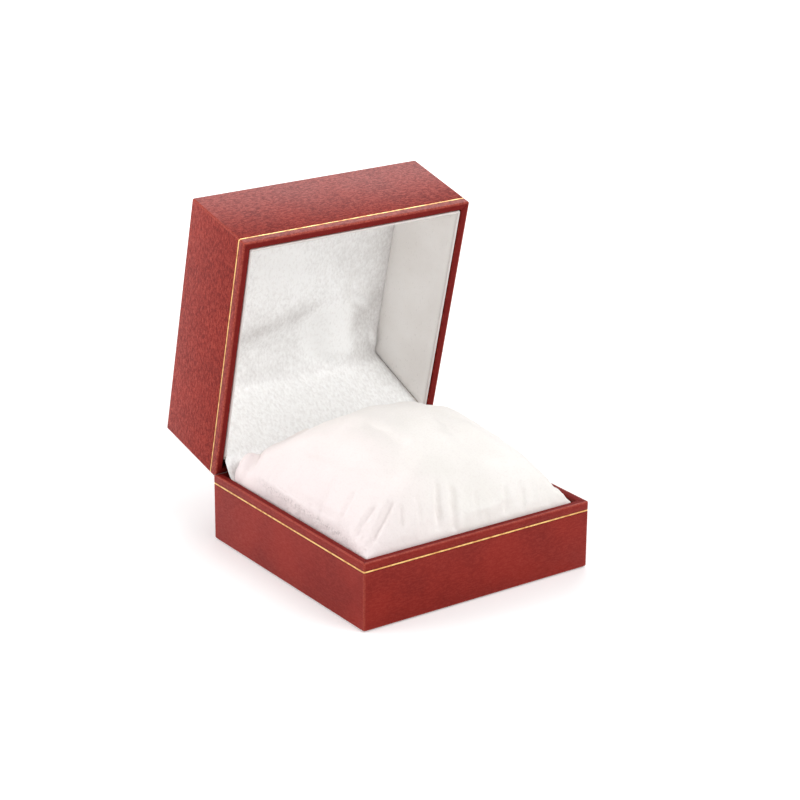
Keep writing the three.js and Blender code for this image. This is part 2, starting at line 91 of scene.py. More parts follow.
# Leatherette cover of each half
RIM_WIDTH = 2.7 * MM
SKIN = 0.37 * MM
CORNER_ROUND = 0.6 * MM
CORNER_STEPS = 5
EDGE_ROUND = 0.45 * MM
INNER_ROUND = 0.4 * MM
TURN_IN = 9 * MM
TURN_UNDER = 6 * MM
GROOVE_HALF = 0.29 * MM
GROOVE_DEPTH = 0.17 * MM
GROOVE_LIP = 0.12 * MM
GILT_HALF = 0.25 * MM
GILT_INSET = 0.03 * MM
GILT_THICK = 0.13 * MM
GILT_EDGE = 0.03 * MM
NOTCH_HALF = 30.3 * MM
NOTCH_FRONT = 43.2 * MM
NOTCH_DEPTH = 1.27 * MM
RIVET_SIDE = 22 * MM
RIVET_BELOW_RIM = 6.85 * MM
RIVET_HOLE = 0.9 * MM
MITRE_HALF = 0.09 * MM
MITRE_DEPTH = 0.22 * MM

# Tuck along the pillow's left side: its height at y = 0, and how it rises towards the back
TUCK_LEVEL = 27.0 * MM
TUCK_SLOPE = 0.051

# Foam and spring
FOAM_ROUND = 1.1 * MM
SPRING_EDGE = 0.07 * MM

# ---------------------------------------- camera, floor and light

TARGET = Vector((0.119, -0.095, 55.842)) * MM
AZIMUTH = math.radians(-35.428)
ELEVATION = math.radians(20.211)
ROLL = math.radians(0.475)
DISTANCE = 813.964 * MM
LENS = 108.619
SENSOR = 36
NEAREST_SEEN = 50 * MM
FLOOR_SIZE = 6
FLOOR_GAP = 0.3 * MM
FLOOR_GREY = 0.86
FLOOR_LIFT = 0.3
FLOOR_NEAR = 0.3
FLOOR_FAR = 0.9
ROOM_GLOW = 0.4
# Each lamp: its name, its place, what it aims at, its size in metres and its power
SOFTBOXES = (
    ("overhead_softbox", (-0.1, -0.1, 1.1), (0, 0, 0.05), (0.9, 0.9), 1.5),
    ("front_top_softbox", (0.25, -0.8, 0.9), (0, 0, 0.06), (0.6, 0.5), 5.4),
    ("left_softbox", (-0.95, 0.45, 0.45), (0, 0, 0.05), (0.7, 0.7), 7.0),
    ("front_softbox", (0.5, -1.05, 0.3), (0, 0, 0.07), (0.7, 0.5), 1.8),
    ("back_softbox", (0.6, 0.7, 0.85), (0, 0, 0.08), (0.7, 0.7), 5.3),
)


def add_camera():
    back = Vector((
        math.sin(AZIMUTH) * math.cos(ELEVATION),
        -math.cos(AZIMUTH) * math.cos(ELEVATION),
        math.sin(ELEVATION),
    ))
    right = (-back).cross(Vector((0, 0, 1))).normalized()
    up = right.cross(-back)
    rolled_right = right * math.cos(ROLL) + up * math.sin(ROLL)
    rolled_up = up * math.cos(ROLL) - right * math.sin(ROLL)
    turn = Matrix((rolled_right, rolled_up, back)).transposed().to_4x4()
    bpy.ops.object.camera_add()
    camera = bpy.context.object
    camera.name = "camera"
    camera.matrix_world = Matrix.Translation(TARGET + back * DISTANCE) @ turn
    camera.data.lens = LENS
    camera.data.sensor_width = SENSOR
    camera.data.clip_start = NEAREST_SEEN
    bpy.context.scene.camera = camera


def add_softbox(name, place, aim, size, power):
    bpy.ops.object.light_add(type="AREA", location=place)
    lamp = bpy.context.object
    lamp.name = name
    lamp.data.shape = "RECTANGLE"
    lamp.data.size, lamp.data.size_y = size
    lamp.data.energy = power
    lamp.rotation_euler = (Vector(aim) - Vector(place)).to_track_quat("-Z", "Y").to_euler()


def rays_that_see_white(nodes, links):
    """1 for the rays that show the backdrop: straight on, in a gloss or through glass."""
    rays = nodes.new("ShaderNodeLightPath").outputs
    shown = rays["Is Camera Ray"]
    for other in ("Is Glossy Ray", "Is Transmission Ray"):
        either = nodes.new("ShaderNodeMath")
        either.operation = "MAXIMUM"
        links.new(shown, either.inputs[0])
        links.new(rays[other], either.inputs[1])
        shown = either.outputs[0]
    return shown


def add_floor():
    bpy.ops.mesh.primitive_plane_add(size=FLOOR_SIZE, location=(0, 0, -FLOOR_GAP))
    floor = bpy.context.object
    floor.name = "floor"
    finish = bpy.data.materials.new("studio_floor")
    finish.use_nodes = True
    nodes, links = finish.node_tree.nodes, finish.node_tree.links
    shader = nodes["Principled BSDF"]
    shader.inputs["Base Color"].default_value = (FLOOR_GREY, FLOOR_GREY, FLOOR_GREY, 1)
    shader.inputs["Roughness"].default_value = 0.9
    shader.inputs["Specular IOR Level"].default_value = 0.1
    # Far from the object the floor runs out into the white of the room.
    place = nodes.new("ShaderNodeTexCoord")
    away = nodes.new("ShaderNodeVectorMath")
    away.operation = "LENGTH"
    links.new(place.outputs["Object"], away.inputs[0])
    level = nodes.new("ShaderNodeMapRange")
    for socket, value in (
        ("From Min", FLOOR_NEAR), ("From Max", FLOOR_FAR), ("To Min", FLOOR_LIFT), ("To Max", 1),
    ):
        level.inputs[socket].default_value = value
    links.new(away.outputs["Value"], level.inputs["Value"])
    lift = nodes.new("ShaderNodeMath")
    lift.operation = "MULTIPLY"
    links.new(level.outputs[0], lift.inputs[1])
    links.new(rays_that_see_white(nodes, links), lift.inputs[0])
    shader.inputs["Emission Color"].default_value = (1, 1, 1, 1)
    links.new(lift.outputs[0], shader.inputs["Emission Strength"])
    floor.data.materials.append(finish)


def light_the_room():
    world = bpy.data.worlds.new("studio")
    bpy.context.scene.world = world
    world.use_nodes = True
    nodes, links = world.node_tree.nodes, world.node_tree.links
    back = nodes["Background"]
    level = nodes.new("ShaderNodeMapRange")
    level.inputs["To Min"].default_value = ROOM_GLOW
    level.inputs["To Max"].default_value = 1.0
    links.new(rays_that_see_white(nodes, links), level.inputs["Value"])
    back.inputs["Color"].default_value = (1, 1, 1, 1)
    links.new(level.outputs[0], back.inputs["Strength"])
    for softbox in SOFTBOXES:
        add_softbox(*softbox)


add_camera()
add_floor()
light_the_room()
bpy.context.scene.view_settings.view_transform = "Standard"

# ---------------------------------------- finishes


class Finish:
    """A material whose nodes are added one by one."""

    def __init__(self, name, colour, roughness, shut_lid=False, **sockets):
        self.material = bpy.data.materials.new(name)
        self.material.use_nodes = True
        self.nodes = self.material.node_tree.nodes
        self.links = self.material.node_tree.links
        self.shader = self.nodes["Principled BSDF"]
        self.shader.inputs["Base Color"].default_value = (*colour, 1)
        self.shader.inputs["Roughness"].default_value = roughness
        for socket, value in sockets.items():
            self.shader.inputs[socket.replace("_", " ")].default_value = value
        self.place = self.nodes.new("ShaderNodeTexCoord").outputs["Object"]
        if shut_lid:
            # A lid piece's grain runs as it does with the lid shut.
            self.place = self.node(
                "VectorRotate", {"Vector": self.place, "Center": PIVOT, "Angle": OPEN_ANGLE},
                rotation_type="X_AXIS",
            ).outputs[0]

    def node(self, kind, inputs=None, **settings):
        made = self.nodes.new("ShaderNode" + kind)
        for key, value in settings.items():
            setattr(made, key, value)
        for socket, value in (inputs or {}).items():
            if isinstance(value, bpy.types.NodeSocket):
                self.links.new(value, made.inputs[socket])
            else:
                made.inputs[socket].default_value = value
        return made

    def noise(self, scale, detail=3.0, roughness=0.5, stretch=(1, 1, 1)):
        at = self.node("Mapping", {"Vector": self.place, "Scale": stretch}).outputs[0]
        return self.node(
            "TexNoise", {"Vector": at, "Scale": scale, "Detail": detail, "Roughness": roughness}
        ).outputs["Fac"]

    def axes(self):
        return self.node("SeparateXYZ", {"Vector": self.place}).outputs

    def spread(self, value, low, high, to_low=0.0, to_high=1.0):
        return self.node("MapRange", {
            "Value": value, "From Min": low, "From Max": high, "To Min": to_low, "To Max": to_high,
        }).outputs[0]

    def maths(self, operation, first, *others):
        """The first value and each of the others in turn, put through one operation."""
        for other in others:
            first = self.node("Math", {0: first, 1: other}, operation=operation).outputs[0]
        return first

    def apart(self, value, level):
        """How far a value is from a level."""
        return self.maths("ABSOLUTE", self.maths("SUBTRACT", value, level), 0)

    def mix(self, share, first, second):
        made = self.node("Mix", {"Factor": share}, data_type="RGBA")
        for socket, value in ((made.inputs[6], first), (made.inputs[7], second)):
            if isinstance(value, bpy.types.NodeSocket):
                self.links.new(value, socket)
            else:
                socket.default_value = (*value, 1)
        return made.outputs[2]

    def colour(self, value):
        self.links.new(value, self.shader.inputs["Base Color"])

    def roughness(self, value):
        self.links.new(value, self.shader.inputs["Roughness"])

    def bump(self, height, depth, strength=1.0, under=None):
        made = self.node("Bump", {"Height": height, "Distance": depth, "Strength": strength})
        if under is not None:
            self.links.new(under, made.inputs["Normal"])
        self.links.new(made.outputs[0], self.shader.inputs["Normal"])
        return made.outputs[0]


def linear(red, green, blue):
    """A colour as a swatch gives it, 0 to 255, in the numbers that a shader takes."""
    return tuple(
        c / 12.92 if c <= 0.04045 else ((c + 0.055) / 1.055) ** 2.4
        for c in (red / 255, green / 255, blue / 255)
    )


def red_leatherette(name, shut_lid, contrast, rim, roof):
    """Pressed long-grain leatherette: short streaks along the rim, with darker valleys, painted
    shade on the rougher rim, on the inner walls and along the gilt line, and a painted highlight
    along the edges. rim and roof are levels."""
    finish = Finish(name, linear(130, 30, 22), 0.5, shut_lid, Specular_IOR_Level=0.2)
    tone = finish.noise(60, 3)
    x, y, z = finish.axes()
    from_roof = finish.apart(z, roof)
    on_flat = finish.spread(from_roof, 0.5 * MM, 0.3 * MM)
    on_walls = finish.noise(2100, 4, 0.66, (0.24, 0.24, 1))
    on_roof = finish.noise(2100, 4, 0.66, (0.24, 1, 1))
    streaks = finish.mix(on_flat, on_walls, on_roof)
    pebbles = finish.noise(1900, 3, 0.6)
    fine = finish.noise(5200, 2)
    grain = finish.maths(
        "ADD", finish.maths("MULTIPLY", streaks, 0.62), finish.maths("MULTIPLY", pebbles, 0.38)
    )
    body = finish.mix(finish.spread(tone, 0.35, 0.65), linear(124, 19, 8), linear(139, 28, 15))
    peaks = finish.spread(grain, 0.48, 0.58, 0.0, contrast)
    valleys = finish.spread(grain, 0.4, 0.5, contrast, 0.0)
    lit = finish.mix(peaks, body, linear(190, 76, 60))
    grained = finish.mix(valleys, lit, linear(88, 10, 5))

    from_rim = finish.apart(z, rim)
    past_x, past_y = [
        finish.spread(finish.maths("ABSOLUTE", axis, 0), half - 0.8 * MM, half - 0.25 * MM)
        for axis, half in ((x, HALF_WIDTH), (y, HALF_DEPTH))
    ]
    outside = finish.maths("MAXIMUM", past_x, past_y)
    corner = finish.maths("MULTIPLY", past_x, past_y)
    on_rim = finish.spread(from_rim, 0.3 * MM, 0.12 * MM)
    on_rim_edge = finish.maths("MULTIPLY", finish.spread(from_rim, 0.55 * MM, 0.3 * MM), outside)
    inside = finish.maths("SUBTRACT", 1.0, outside)
    on_roof_edge = finish.maths("MULTIPLY", finish.spread(from_roof, 0.6 * MM, 0.25 * MM), outside)
    from_line = finish.apart(from_rim, GILT_BELOW_RIM)
    # Painted shade: the leather within about 0.6 mm of the gilt line, in and beside its groove, is
    # darkened.
    pressed = finish.spread(from_line, 0.62 * MM, 0.4 * MM, 0.0, 0.55)

    # Painted shade: the rim's face is darkened, and the same mask makes it rougher.
    rim_painted_shade = finish.maths("MULTIPLY", on_rim, inside, 0.92)
    coloured = finish.mix(rim_painted_shade, grained, linear(112, 14, 10))
    # Painted shade: the inner walls darken with depth below the rim, down to about a millimetre
    # past the turn-in.
    inner_wall_painted_shade = finish.maths(
        "MULTIPLY", inside,
        finish.spread(from_rim, 0.5 * MM, 2.6 * MM),
        finish.spread(from_rim, TURN_IN + 2 * MM, TURN_IN + MM),
    )
    coloured = finish.mix(inner_wall_painted_shade, coloured, linear(40, 6, 6))
    coloured = finish.mix(pressed, coloured, linear(84, 10, 6))
    # Painted highlight: the corners and the edges at the rim and the roof are lightened, broken by
    # the grain.
    painted_edge_highlight = finish.maths("MAXIMUM", corner, on_rim_edge, on_roof_edge)
    painted_edge_highlight = finish.maths("MULTIPLY", painted_edge_highlight, finish.spread(pebbles, 0.3, 0.7, 0.1, 0.45))
    finish.colour(finish.mix(painted_edge_highlight, coloured, linear(204, 104, 86)))
    matt = finish.spread(grain, 0.35, 0.65, 0.56, 0.4)
    finish.roughness(finish.maths("MAXIMUM", matt, finish.maths("MULTIPLY", rim_painted_shade, 0.85)))
    soft = finish.bump(fine, 0.02 * MM, 0.5)
    finish.bump(grain, 0.14 * MM, 0.2 + 0.5 * contrast, soft)
    return finish.material


def gilt_foil():
    finish = Finish("gilt_foil", linear(232, 176, 100), 0.36, Metallic=0.6)
    wear = finish.noise(500, 4)
    finish.colour(finish.mix(
        finish.spread(wear, 0.42, 0.7), linear(250, 204, 128), linear(206, 132, 70)
    ))
    finish.roughness(finish.spread(wear, 0.3, 0.7, 0.28, 0.46))
    finish.bump(finish.noise(3000, 2), 0.01 * MM, 0.4)
    return finish.material


def white_satin(name, dull, bright, draped):
    """Bright satin: a clean sheen broken by fine slubs. On a draped cloth the colour carries a
    painted sheen that follows the way each fold leans, held in a point attribute, with painted
    glints from the slubs."""
    finish = Finish(
        name, linear(238, 237, 235), 0.34, True,
        Sheen_Weight=0.25, Sheen_Roughness=0.35, Specular_IOR_Level=0.8,
    )
    thread = finish.noise(2600, 2, 0.5, (1, 0.25, 1))
    slub = finish.noise(1100, 3, 0.65, (1, 0.6, 0.6))
    share = finish.spread(finish.noise(55, 3), 0.35, 0.65)
    if draped:
        # Painted sheen: the colour runs from dull to bright with the attribute written for each
        # fold's lean.
        painted_sheen = finish.node("Attribute", attribute_name="painted_sheen").outputs["Fac"]
        # Painted glints: the slubs lift and lower the painted sheen.
        painted_glints = finish.spread(slub, 0.35, 0.65, -0.24, 0.24)
        share = finish.maths("ADD", painted_sheen, painted_glints)
        finish.colour(finish.mix(share, dull, bright))
    else:
        # The cut edge that the rim hides in part lies in shade.
        depth = finish.maths("SUBTRACT", finish.axes()[2], LID_LOW.z)
        face = finish.spread(depth, 0.5 * MM, 1.5 * MM)
        finish.colour(finish.mix(face, linear(218, 211, 207), finish.mix(share, dull, bright)))
    finish.roughness(finish.spread(thread, 0.3, 0.7, 0.26, 0.42))
    woven = finish.bump(thread, 0.02 * MM, 0.5)
    finish.bump(slub, 0.14 * MM, 0.7, woven)
    return finish.material


def white_plush():
    """Short white plush, a little pink towards one side and creamier towards the other, with
    painted shade in grey at the pile's roots and in grey flecks between its tufts along the tuck."""
    finish = Finish(
        "white_plush", linear(244, 238, 236), 0.9,
        Sheen_Weight=0.35, Sheen_Roughness=0.5, Specular_IOR_Level=0.15,
    )
    patch = finish.noise(45, 3)
    pile = finish.noise(1500, 3)
    tufts = finish.noise(1100, 4, 0.7)
    x, y, z = finish.axes()
    across = finish.maths("ADD", x, finish.maths("MULTIPLY", patch, 20 * MM))
    side = finish.spread(across, -34 * MM, 8 * MM)
    patchy = finish.spread(patch, 0.38, 0.66)
    pinkish = finish.mix(patchy, linear(247, 234, 233), linear(242, 229, 229))
    creamy = finish.mix(patchy, linear(249, 245, 241), linear(243, 239, 234))
    shade = finish.mix(side, pinkish, creamy)
    # Painted shade: a little grey where the pile's noise is low, at the roots between its tufts.
    root = finish.spread(pile, 0.32, 0.5, 0.1, 0.0)
    shade = finish.mix(root, shade, linear(205, 190, 188))
    # The tuck sinks towards the front; along it, painted shadow lies in grey flecks between the
    # tufts.
    level = finish.maths("ADD", finish.maths("MULTIPLY", y, TUCK_SLOPE), TUCK_LEVEL)
    tuck_painted_shadow = finish.maths(
        "MULTIPLY",
        finish.spread(finish.apart(z, level), 1.6 * MM, 0.3 * MM),
        finish.spread(x, -39.5 * MM, -41 * MM),
        finish.spread(y, 26 * MM, 18 * MM),
        finish.spread(y, -36 * MM, -26 * MM),
        finish.spread(tufts, 0.49, 0.6, 0.0, 0.34),
    )
    finish.colour(finish.mix(tuck_painted_shadow, shade, linear(140, 130, 127)))
    finish.bump(pile, 0.25 * MM, 0.5)
    return finish.material


def plain(name, dark, light, roughness, scale, depth, **sockets):
    """A finish with a fine grain and two near tones."""
    finish = Finish(name, light, roughness, **sockets)
    grain = finish.noise(scale, 4)
    finish.colour(finish.mix(finish.spread(grain, 0.35, 0.65), dark, light))
    finish.roughness(finish.spread(grain, 0.3, 0.7, roughness - 0.06, roughness + 0.06))
    finish.bump(grain, depth, 0.5)
    return finish.material


BASE_LEATHERETTE = red_leatherette(
    "red_leatherette_base", False, 0.13, BASE_HIGH.z, BASE_LOW.z
)
LID_LEATHERETTE = red_leatherette("red_leatherette_lid", True, 0.5, LID_LOW.z, LID_HIGH.z)
GILT = gilt_foil()
ROOF_SATIN = white_satin("roof_satin", linear(212, 209, 207), linear(255, 255, 254), True)
LINING_SATIN = white_satin("lining_satin", linear(246, 242, 238), linear(254, 251, 248), False)
PLUSH = white_plush()
FELT = plain("dark_felt", linear(30, 26, 25), linear(48, 42, 40), 0.93, 2600, 0.15 * MM)
CARD = plain("lining_card", linear(214, 205, 194), linear(232, 226, 217), 0.88, 900, 0.03 * MM)
MOULDING = plain("moulding", linear(52, 42, 39), linear(66, 54, 50), 0.55, 500, 0.02 * MM)
FOAM = plain("foam", linear(228, 214, 178), linear(245, 236, 208), 0.95, 1800, 0.2 * MM)
BRASS = plain(
    "hinge_brass", linear(176, 134, 62), linear(206, 168, 92), 0.34, 800, 0.01 * MM, Metallic=1.0
)
STEEL = plain(
    "spring_steel", linear(150, 153, 158), linear(192, 195, 200), 0.32, 1200, 0.01 * MM,
    Metallic=1.0,
)

# ---------------------------------------- bench tools


def nothing_selected():
    bpy.ops.object.select_all(action="DESELECT")


def take(piece):
    nothing_selected()
    piece.select_set(True)
    bpy.context.view_layer.objects.active = piece


def choose(piece, kind, test):
    """Selects what passes the test among a piece's points, edges or faces, in edit mode."""
    bpy.ops.mesh.select_mode(type=kind)
    bpy.ops.mesh.select_all(action="DESELECT")
    mesh = bmesh.from_edit_mesh(piece.data)
    parts = {"VERT": mesh.verts, "EDGE": mesh.edges, "FACE": mesh.faces}[kind]
    for part in parts:
        if test(part):
            part.select_set(True)
    mesh.select_flush_mode()
    bmesh.update_edit_mesh(piece.data)


def to_edit(piece):
    take(piece)
    bpy.ops.object.mode_set(mode="EDIT")


def edit_all(piece):
    """Opens a piece for editing with all of it selected."""
    to_edit(piece)
    bpy.ops.mesh.select_all(action="SELECT")


def to_object():
    bpy.ops.object.mode_set(mode="OBJECT")


def settle():
    """Writes what was just added at its place and size into its own mesh."""
    bpy.ops.object.transform_apply(location=True, rotation=True, scale=True)
    return bpy.context.object


def apply_modifier(piece, kind, **settings):
    take(piece)
    modifier = piece.modifiers.new(kind.lower(), kind)
    for key, value in settings.items():
        setattr(modifier, key, value)
    bpy.ops.object.modifier_apply(modifier=modifier.name)


def smooth(piece, degrees=38):
    take(piece)
    bpy.ops.object.shade_smooth_by_angle(angle=math.radians(degrees))


def block(name, low, high):
    nothing_selected()
    low, high = Vector(low), Vector(high)
    bpy.ops.mesh.primitive_cube_add(size=1, location=(low + high) / 2, scale=high - low)
    piece = settle()
    piece.name = name
    return piece


def rounded_outline(name, inset, level, corner):
    """An empty rectangle with rounded corners, inset from the walls, left in edit mode."""
    nothing_selected()
    bpy.ops.mesh.primitive_plane_add(size=1, location=(0, 0, level))
    piece = bpy.context.object
    piece.name = name
    piece.scale = (2 * (HALF_WIDTH - inset), 2 * (HALF_DEPTH - inset), 1)
    settle()
    edit_all(piece)
    bpy.ops.mesh.bevel(offset=corner, segments=CORNER_STEPS, affect="VERTICES")
    bpy.ops.mesh.delete(type="ONLY_FACE")
    bpy.ops.mesh.select_mode(type="EDGE")
    bpy.ops.mesh.select_all(action="SELECT")
    return piece


def bench_copy(name, node):
    """A copy of a CAD node's mesh with its points joined, to be worked on."""
    piece = bpy.data.objects.new(name, frame["nodes"][node].data.copy())
    bpy.context.scene.collection.objects.link(piece)
    edit_all(piece)
    bpy.ops.mesh.remove_doubles(threshold=1e-6)
    bpy.ops.mesh.tris_convert_to_quads(face_threshold=0.1, shape_threshold=3.1)
    to_object()
    return piece


def put_on(piece, finish, body, slot, *nodes):
    """Gives a finished piece its material, its body and the CAD nodes that it stands for. A piece
    that bends across the hinge has no body of its own."""
    piece.data.materials.clear()
    piece.data.materials.append(finish)
    if body:
        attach(piece, body)
    if nodes:
        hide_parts(*nodes)


def swing_lid_open(piece):
    """Turns a lid piece made with the lid shut to where it is with the lid open."""
    piece.data.transform(OPEN_LID)


# ---------------------------------------- leatherette covers


def quarter(radius, steps, start_inset, start_depth, way):
    """Points round a quarter of an edge. way is 'over' for an outer edge, 'into' for an inner."""
    points = []
    for i in range(steps + 1):
        turn = i / steps * math.pi / 2
        if way == "over":
            points.append((
                start_inset + radius * (1 - math.cos(turn)),
                start_depth + radius * math.sin(turn),
            ))
        else:
            points.append((
                start_inset + radius * math.sin(turn),
                start_depth - radius * (1 - math.cos(turn)),
            ))
    return points


def cover_profile(height, first):
    """(inset, height below the rim) of each loop of a cover, up to its turned-in end."""
    bottom = -height
    groove = -GILT_BELOW_RIM
    profile = [first, (EDGE_ROUND, bottom)]
    profile += [
        (EDGE_ROUND * (1 - math.sin(t)), bottom + EDGE_ROUND * (1 - math.cos(t)))
        for t in (math.pi / 8, math.pi / 4, 3 * math.pi / 8, math.pi / 2)
    ]
    profile += [
        (0, groove - GROOVE_HALF - GROOVE_LIP),
        (0.3 * GROOVE_DEPTH, groove - GROOVE_HALF - 0.3 * GROOVE_LIP),
        (GROOVE_DEPTH, groove - GROOVE_HALF),
        (GROOVE_DEPTH, groove + GROOVE_HALF),
        (0.3 * GROOVE_DEPTH, groove + GROOVE_HALF + 0.3 * GROOVE_LIP),
        (0, groove + GROOVE_HALF + GROOVE_LIP),
    ]
    profile += quarter(EDGE_ROUND, 4, 0, -EDGE_ROUND, "over")
    profile += quarter(INNER_ROUND, 3, RIM_WIDTH - INNER_ROUND, 0, "into")
    profile.append((RIM_WIDTH, -TURN_IN))
    return profile


def wrapped_half(name, height, roofed):
    """A cover of leatherette with its rim at height 0 and its body below, one skin thick."""
    start = TURN_UNDER
    profile = cover_profile(height, (start, -height))
    corner = CORNER_ROUND * (HALF_WIDTH - start) / HALF_WIDTH
    piece = rounded_outline(name, start, -height, corner)
    for (inset, level), (next_inset, next_level) in zip(profile, profile[1:]):
        bpy.ops.mesh.extrude_region_move(
            TRANSFORM_OT_translate={"value": (0, 0, next_level - level)}
        )
        bpy.ops.transform.resize(
            value=(
                (HALF_WIDTH - next_inset) / (HALF_WIDTH - inset),
                (HALF_DEPTH - next_inset) / (HALF_DEPTH - inset),
                1,
            ),
            center_override=(0, 0, 0),
        )
    if roofed:
        choose(piece, "EDGE", lambda edge: edge.is_boundary and edge.verts[0].co.z < -height + MM)
        bpy.ops.mesh.edge_face_add()
    bpy.ops.mesh.select_all(action="SELECT")
    bpy.ops.mesh.remove_doubles(threshold=1e-6)
    bpy.ops.mesh.normals_make_consistent(inside=False)
    # The upper back edge is cut off on the slant, so that the two halves can fold back to back.
    lean = OPEN_ANGLE / 2
    out = Vector((0, math.sin(lean), math.cos(lean)))
    bpy.ops.mesh.bisect(
        plane_co=Vector((0, PIVOT.y, PIVOT.z - BASE_HIGH.z)) - out * (PIVOT.z - BASE_HIGH.z),
        plane_no=out,
        use_fill=True,
        clear_outer=True,
    )
    to_object()
    return piece


def joined(pieces):
    nothing_selected()
    for piece in pieces:
        piece.select_set(True)
    bpy.context.view_layer.objects.active = pieces[0]
    bpy.ops.object.join()
    return pieces[0]


def cover_cutters():
    """What is cut out of a cover at its rim: the hinge's place, the rivets' holes, the mitres."""
    cutters = [block(
        "hinge_notch",
        (-NOTCH_HALF, NOTCH_FRONT, -NOTCH_DEPTH),
        (NOTCH_HALF, HALF_DEPTH + MM, MM),
    )]
    for side in (-1, 1):
        nothing_selected()
        bpy.ops.mesh.primitive_cylinder_add(
            vertices=24, radius=RIVET_HOLE, depth=1.2 * MM,
            location=(side * RIVET_SIDE, HALF_DEPTH - RIM_WIDTH, -RIVET_BELOW_RIM),
            rotation=(math.pi / 2, 0, 0),
        )
        cutters.append(settle())
    for side in (-1, 1):
        for end in (-1, 1):
            long = RIM_WIDTH * math.sqrt(2) / 2 - 0.1 * MM
            slit = block(
                "mitre", (-long, -MITRE_HALF, -MITRE_DEPTH), (long, MITRE_HALF, MM)
            )
            slit.data.transform(
                Matrix.Translation((
                    side * (HALF_WIDTH - RIM_WIDTH / 2), end * (HALF_DEPTH - RIM_WIDTH / 2), 0,
                )) @ Matrix.Rotation(side * end * math.pi / 4, 4, "Z")
            )
            cutters.append(slit)
    return joined(cutters)


def finish_cover(piece):
    apply_modifier(piece, "SOLIDIFY", thickness=SKIN, offset=-1, use_even_offset=True)
    cutter = cover_cutters()
    apply_modifier(piece, "BOOLEAN", object=cutter, operation="DIFFERENCE", solver="EXACT")
    bpy.data.objects.remove(cutter)
    smooth(piece)


def foil_line(name):
    """The gilt line of a half: a flat ribbon of foil round its walls, in its pressed groove."""
    piece = rounded_outline(name, GILT_INSET, -GILT_BELOW_RIM - GILT_HALF, CORNER_ROUND)
    bpy.ops.mesh.extrude_region_move(TRANSFORM_OT_translate={"value": (0, 0, 2 * GILT_HALF)})
    bpy.ops.mesh.select_all(action="SELECT")
    bpy.ops.mesh.normals_make_consistent(inside=False)
    to_object()
    apply_modifier(piece, "SOLIDIFY", thickness=GILT_THICK, offset=-1, use_even_offset=True)
    apply_modifier(piece, "BEVEL", width=GILT_EDGE, segments=2)
    smooth(piece)
    return piece


BASE_UP = Matrix.Translation((0, 0, BASE_HIGH.z))
LID_UP = OPEN_LID @ Matrix.Translation((0, 0, LID_LOW.z)) @ Matrix.Rotation(math.pi, 4, "Y")
for half, height, up, leatherette in (
    ("base", BASE_HIGH.z - BASE_LOW.z, BASE_UP, BASE_LEATHERETTE),
    ("lid", LID_HIGH.z - LID_LOW.z, LID_UP, LID_LEATHERETTE),
):
    leather = wrapped_half(half + "_leather", height, half == "lid")
    finish_cover(leather)
    leather.data.transform(up)
    put_on(leather, leatherette, half, "leatherette", half + "_wrap")
    foil = foil_line(half + "_foil_line")
    foil.data.transform(up)
    put_on(foil, GILT, half, "gilt_line", half + "_gilt_line")

# ---------------------------------------- soft goods tools

PUFF_VOXEL = 1.7 * MM
PUFF_PRESSURE = 7
PUFF_SLACK = 0.02
PUFF_STEPS = 20
PUFF_REACH = 2.2 * MM


def vectors_of(parts, key):
    values = np.empty(len(parts) * 3)
    parts.foreach_get(key, values)
    return values.reshape(-1, 3)


def points_of(piece):
    return vectors_of(piece.data.vertices, "co")


def normals_of(piece):
    return vectors_of(piece.data.vertex_normals, "vector")


def set_points(piece, points):
    piece.data.vertices.foreach_set("co", np.asarray(points, np.float32).ravel())
    piece.data.update()


def puff_up(piece, held):
    """Blows a stuffed piece up as cloth. held tells which points stay."""
    take(piece)
    piece.data.remesh_voxel_size = PUFF_VOXEL
    bpy.ops.object.voxel_remesh()
    start = points_of(piece)
    group = piece.vertex_groups.new(name="held")
    group.add([int(i) for i in np.nonzero(held(start))[0]], 1.0, "REPLACE")
    cloth = piece.modifiers.new("cloth", "CLOTH")
    plush = {
        "quality": 6, "mass": 0.1, "vertex_group_mass": "held",
        "use_pressure": True, "uniform_pressure_force": PUFF_PRESSURE,
        "tension_stiffness": 12, "compression_stiffness": 12,
        "shear_stiffness": 5, "bending_stiffness": 0.2, "shrink_min": -PUFF_SLACK,
    }
    for key, value in plush.items():
        setattr(cloth.settings, key, value)
    cloth.settings.effector_weights.gravity = 0
    cloth.collision_settings.use_collision = False
    cloth.point_cache.frame_start, cloth.point_cache.frame_end = 1, PUFF_STEPS
    for step in range(1, PUFF_STEPS + 1):
        bpy.context.scene.frame_set(step)
    take(piece)
    bpy.ops.object.modifier_apply(modifier=cloth.name)
    bpy.context.scene.frame_set(1)
    moved = points_of(piece) - start
    length = np.linalg.norm(moved, axis=1)
    moved *= np.minimum(1, PUFF_REACH / np.maximum(length, 1e-9))[:, None]
    set_points(piece, start + moved)
    piece.vertex_groups.clear()
    return start


# ---------------------------------------- soft shapes over a plan


def smoothstep(t):
    t = np.clip(t, 0, 1)
    return t * t * (3 - 2 * t)


def hump(x, y, at, size, turn=0.0):
    """A soft round or oval rise, 1 at its middle."""
    dx, dy = x - at[0] * MM, y - at[1] * MM
    c, s = math.cos(math.radians(turn)), math.sin(math.radians(turn))
    a, b = (dx * c + dy * s) / (size[0] * MM), (dy * c - dx * s) / (size[1] * MM)
    return np.exp(-a * a - b * b)


